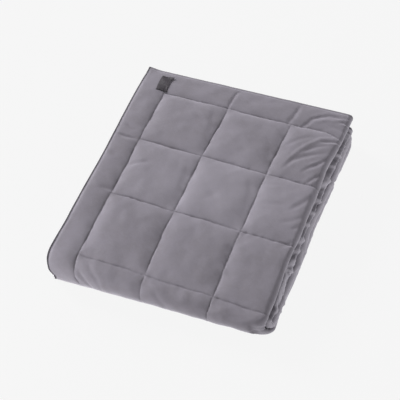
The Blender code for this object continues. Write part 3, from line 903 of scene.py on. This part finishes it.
def make_label(material):
    """Woven label: a closed plate of two faces with a rounded rim, and rolled short ends."""
    u = np.concatenate(((-1, -0.985), np.linspace(-0.95, 0.95, 21), (0.985, 1)))
    v = np.concatenate(((1, 0.99, 0.975), np.linspace(0.95, -0.95, 37), (-0.975, -0.99, -1)))
    uu, vv = np.meshgrid(u, v, indexing="ij")
    thick = LABEL_SIZE[2]
    hem = 0.00045 * ease(np.abs(vv), 0.865, 0.885) * (1 - ease(np.abs(vv), 0.985, 1.0))
    ribs = 0.00016 * bell(np.abs(vv) - 0.80, 0.012)
    rim = ease(1 - np.abs(uu), 0, 0.03) * ease(1 - np.abs(vv), 0, 0.02)
    upper = label_place(uu, vv, thick * (0.55 + 0.45 * rim) + hem - ribs)
    lower = label_place(uu, vv, 0.25 * thick * (1 - rim))
    index = np.arange(uu.size).reshape(uu.shape)
    ring = ring_of(index)
    following = np.roll(ring, -1)
    sides = np.stack((ring, following, following + uu.size, ring + uu.size), axis=-1)
    faces = (grid_quads(index), sides, grid_quads(index + uu.size)[:, ::-1])
    points = np.concatenate((upper.reshape(-1, 3), lower.reshape(-1, 3)))
    made = make_object("woven_label", points, faces, material)
    flat = np.stack((uu * LABEL_SIZE[0] / 2, vv * LABEL_SIZE[1] / 2), axis=-1).reshape(-1, 2)
    add_uv(made, "weave", np.concatenate((flat, flat)))
    ends = ease(np.abs(vv), 0.86, 0.89)
    add_attribute(made, "ends", np.concatenate((ends.ravel(), ends.ravel())))
    return made


def set_inputs(tree, made, inputs):
    """Sets a node's inputs, by name or in the order in which it uses them, to values or links."""
    if not isinstance(inputs, dict):
        used = [number for number, socket in enumerate(made.inputs) if socket.enabled]
        inputs = dict(zip(used, inputs))
    for name, value in inputs.items():
        if isinstance(value, bpy.types.NodeSocket):
            tree.links.new(value, made.inputs[name])
        else:
            made.inputs[name].default_value = value


def node(tree, kind, inputs=(), **settings):
    """Adds one shader node with its settings and inputs; nodes stand in rows in the order made."""
    made = tree.nodes.new("ShaderNode" + kind)
    row, column = divmod(len(tree.nodes), 8)
    made.location = (220 * column - 2000, -260 * row)
    for name, value in settings.items():
        setattr(made, name, value)
    set_inputs(tree, made, inputs)
    return made


def new_material(name):
    """An empty node material with its output and Principled shader."""
    made = bpy.data.materials.new(name)
    made.use_nodes = True
    return made, made.node_tree, made.node_tree.nodes["Principled BSDF"]


def velvet_material():
    """Grey polyester velvet, woven with a dense cut pile and stroked into patches.

    The pile is dull from above and pale along its tips, which gives the soft sheen on slopes. Its
    colour holds painted shade in seams, creases, pockets and along the edge, a painted highlight on
    folds, and a painted pool of light over the middle of the top.
    """
    made, tree, shader = new_material("grey_velvet")
    where = node(tree, "TexCoord").outputs["Object"]
    noises = (
        # strokes 7 cm and 2 cm wide, and tufts of 1 mm: real ones are finer and wouldn't show
        {"Scale": 14.0, "Detail": 3.0, "Roughness": 0.55, "Distortion": 0.6},
        {"Scale": 55.0, "Detail": 3.0, "Roughness": 0.6, "Distortion": 1.2},
        {"Scale": 1100.0, "Detail": 2.0, "Roughness": 0.6},
    )
    patches, brushed, pile = (
        node(tree, "TexNoise", {"Vector": where, **noise}).outputs["Fac"] for noise in noises
    )
    # painted pool of light: one pale spot over the middle of the top, as a lamp's hot spot would give
    light_pool = {"Vector": where, "Location": (-0.2, 0.12, 0), "Scale": (3.6, 6.2, 0)}
    light_pool = node(tree, "Mapping", light_pool).outputs["Vector"]
    light_pool_distance = node(tree, "VectorMath", (light_pool,), operation="LENGTH").outputs["Value"]
    ramps = (patches, 0.36, 0.66), (brushed, 0.35, 0.68), (light_pool_distance, 1.15, 0.2), (pile, 0.30, 0.72)
    nap, fine, near, tuft = (
        node(tree, "MapRange", ramp, interpolation_type="SMOOTHSTEP").outputs["Result"]
        for ramp in ramps
    )
    fold, painted_shade, edge_shade = (
        node(tree, "Attribute", attribute_name=name).outputs["Fac"]
        for name in ("fold", "painted_shade", "edge_shade")
    )
    brush_share, light_pool_share, fold_highlight_share, painted_shade_share = (
        node(tree, "Math", product, operation="MULTIPLY").outputs[0]
        for product in ((fine, 0.38), (near, 0.55), (fold, 0.78), (painted_shade, 0.55))
    )
    depths = (tuft, linear("5e5b61"), linear("ffffff"))
    depths = node(tree, "Mix", depths, data_type="RGBA").outputs[COLOUR_OUT]
    colour = linear("79757c")
    for share, other, blend in (
        (nap, linear("7e7a82"), "MIX"),
        (brush_share, linear("827e87"), "MIX"),
        # painted pool of light
        (light_pool_share, linear("8f8b94"), "MIX"),
        (0.16, depths, "MULTIPLY"),
        # painted highlight on folds
        (fold_highlight_share, linear("aca8b1"), "MIX"),
        # painted shade in seams, creases and pockets
        (painted_shade_share, linear("514e55"), "MIX"),
        # painted shade along the edge
        (edge_shade, linear("4d4a50"), "MIX"),
    ):
        layer = (share, colour, other)
        colour = node(tree, "Mix", layer, data_type="RGBA", blend_type=blend).outputs[COLOUR_OUT]
    bumps = {"Strength": 0.35, "Distance": 0.0006, "Height": pile}
    looks = {
        "Base Color": colour,
        "Normal": node(tree, "Bump", bumps).outputs["Normal"],
        "Roughness": 0.92,
        "Specular IOR Level": 0.12,
        "Sheen Weight": 0.8,
        "Sheen Roughness": 0.36,
        "Sheen Tint": linear("e2dee8"),
    }
    set_inputs(tree, shader, looks)
    return made


def grained(name, grain, colours, bump, looks):
    """A material whose one fine grain mixes its two colours and raises its bump.

    The grain is a noise's scale and detail, the bump its strength and distance, and looks are
    values of the shader itself.
    """
    made, tree, shader = new_material(name)
    where = node(tree, "TexCoord").outputs["Object"]
    noise = {"Vector": where, "Scale": grain[0], "Detail": grain[1]}
    noise = node(tree, "TexNoise", noise).outputs["Fac"]
    ramp = (noise, 0.35, 0.65)
    share = node(tree, "MapRange", ramp, interpolation_type="SMOOTHSTEP").outputs["Result"]
    colour = (share, linear(colours[0]), linear(colours[1]))
    colour = node(tree, "Mix", colour, data_type="RGBA").outputs[COLOUR_OUT]
    bumps = {"Strength": bump[0], "Distance": bump[1], "Height": noise}
    normal = node(tree, "Bump", bumps).outputs["Normal"]
    set_inputs(tree, shader, {"Base Color": colour, "Normal": normal, **looks})
    return made


def edge_shade_material():
    """Velvet of the band along the edge, painted darker as shade of its rolled rim, with little sheen."""
    looks = {
        "Roughness": 0.90,
        "Specular IOR Level": 0.10,
        "Sheen Weight": 0.10,
        "Sheen Roughness": 0.40,
    }
    grain = (700.0, 2.0)  # tufts of 1.4 mm, drawn coarse so that they show
    return grained("velvet_edge_painted_shade", grain, ("2f2d32", "3a383d"), (0.3, 0.0003), looks)


def thread_material():
    """Spun polyester thread in the colour of the velvet, a little glossier."""
    looks = {"Roughness": 0.55, "Specular IOR Level": 0.35}
    grain = (2600.0, 1.0)  # its twist, 0.4 mm
    return grained("polyester_thread", grain, ("67646a", "85828a"), (0.3, 0.0002), looks)


def label_material():
    """Damask of charcoal polyester yarn, smooth and almost dull, darker on its rolled ends.

    Warp and weft are two waves of 0.5 and 0.7 mm at right angles, coarser than real yarn so that
    they show.
    """
    made, tree, shader = new_material("woven_damask")
    flat = node(tree, "TexCoord").outputs["UV"]
    shared = {"Vector": flat, "Detail": 1.0, "Detail Scale": 2.0}
    weft, warp = (
        node(tree, "TexWave", {**shared, **wave}, bands_direction=direction).outputs["Fac"]
        for direction, wave in (
            ("Y", {"Scale": 450.0, "Distortion": 0.6}),
            ("X", {"Scale": 620.0, "Distortion": 0.4}),
        )
    )
    weave = node(tree, "Math", (weft, warp), operation="MULTIPLY").outputs[0]
    ends = node(tree, "Attribute", attribute_name="ends").outputs["Fac"]
    body, rolled = (
        node(tree, "Mix", (weave, linear(low), linear(high)), data_type="RGBA").outputs[COLOUR_OUT]
        for low, high in (("251f27", "342d37"), ("1b171d", "272229"))
    )
    colour = (ends, body, rolled)
    bumps = {"Strength": 0.4, "Distance": 0.0002, "Height": weave}
    looks = {
        "Base Color": node(tree, "Mix", colour, data_type="RGBA").outputs[COLOUR_OUT],
        "Normal": node(tree, "Bump", bumps).outputs["Normal"],
        "Roughness": 0.58,
        "Specular IOR Level": 0.3,
        "Sheen Weight": 0.05,
    }
    set_inputs(tree, shader, looks)
    return made


def make_floor():
    """Pale seamless floor, which gives its own light, so that it shows no edge."""
    made, tree, shader = new_material("pale_floor")
    where = node(tree, "TexCoord").outputs["Object"]
    grain = node(tree, "TexNoise", {"Vector": where, "Scale": 3.0}).outputs["Fac"]
    colour = (grain, linear("1e1e1e"), linear("202020"))
    looks = {
        "Base Color": node(tree, "Mix", colour, data_type="RGBA").outputs[COLOUR_OUT],
        "Roughness": 1.0,
        "Specular IOR Level": 0.0,
        "Emission Color": linear("f5f5f5"),
        "Emission Strength": 0.985,
    }
    set_inputs(tree, shader, looks)
    corners = [(x * FLOOR_HALF, y * FLOOR_HALF, FLOOR_Z) for x, y in FLOOR_CORNERS]
    floor = make_object("floor", corners, [np.arange(4)[None]], made, smooth=False)


def make_world():
    """World light that is strongest low down and on the bright side."""
    world = bpy.data.worlds.new("studio")
    bpy.context.scene.world = world
    world.use_nodes = True
    tree = world.node_tree
    where = node(tree, "TexCoord").outputs["Generated"]
    up = node(tree, "SeparateXYZ", (where,)).outputs["Z"]
    aim = node(tree, "VectorMath", (where, WORLD_BRIGHT), operation="DOT_PRODUCT").outputs["Value"]
    # value, from low, from high, to low, to high
    ramps = (up, 0.0, 0.60, 1.7, 0.34), (aim, -1.0, 1.0, 0.42, 1.32)
    strengths = [node(tree, "MapRange", ramp).outputs["Result"] for ramp in ramps]
    strength = node(tree, "Math", strengths, operation="MULTIPLY").outputs[0]
    light = {"Color": linear("f5f5f5"), "Strength": strength}
    set_inputs(tree, tree.nodes["Background"], light)


def make_lights():
    """Round area lights, each turned to the origin."""
    for name, at, size, watts in LIGHTS:
        light = bpy.data.lights.new(name, "AREA")
        light.shape = "DISK"
        light.size = size
        light.energy = watts
        made = bpy.data.objects.new(name, light)
        made.location = at
        made.rotation_euler = (-Vector(at)).to_track_quat("-Z", "Y").to_euler()
        bpy.context.scene.collection.objects.link(made)


def make_camera():
    """Camera at the viewing angle, rolled a little."""
    az, el, roll = np.radians((AZIMUTH, ELEVATION, ROLL))
    back = Vector((np.sin(az) * np.cos(el), -np.cos(az) * np.cos(el), np.sin(el)))
    right = Vector((np.cos(az), np.sin(az), 0.0))
    up = back.cross(right)
    turned = np.cos(roll) * right + np.sin(roll) * up
    up = -np.sin(roll) * right + np.cos(roll) * up
    data = bpy.data.cameras.new("camera")
    data.lens = LENS
    data.sensor_width = 36.0
    camera = bpy.data.objects.new("camera", data)
    matrix = Matrix((turned, up, back)).transposed().to_4x4()
    matrix.translation = Vector(TARGET) + back * DISTANCE
    camera.matrix_world = matrix
    bpy.context.scene.collection.objects.link(camera)
    bpy.context.scene.camera = camera


def main():
    """Builds the pieces, attaches them to the root body, hides the parts they replace, and sets the stage
    around them.
    """
    bpy.context.scene.view_settings.view_transform = "Standard"
    cloth = make_cloth(velvet_material(), edge_shade_material())
    thread = make_stitches(thread_material())
    label = make_label(label_material())
    for piece in (cloth, thread, label):
        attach(piece, "root")
    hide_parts("bedspread")
    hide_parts("label")
    make_floor()
    make_world()
    make_lights()
    make_camera()
    bpy.context.view_layer.update()


main()
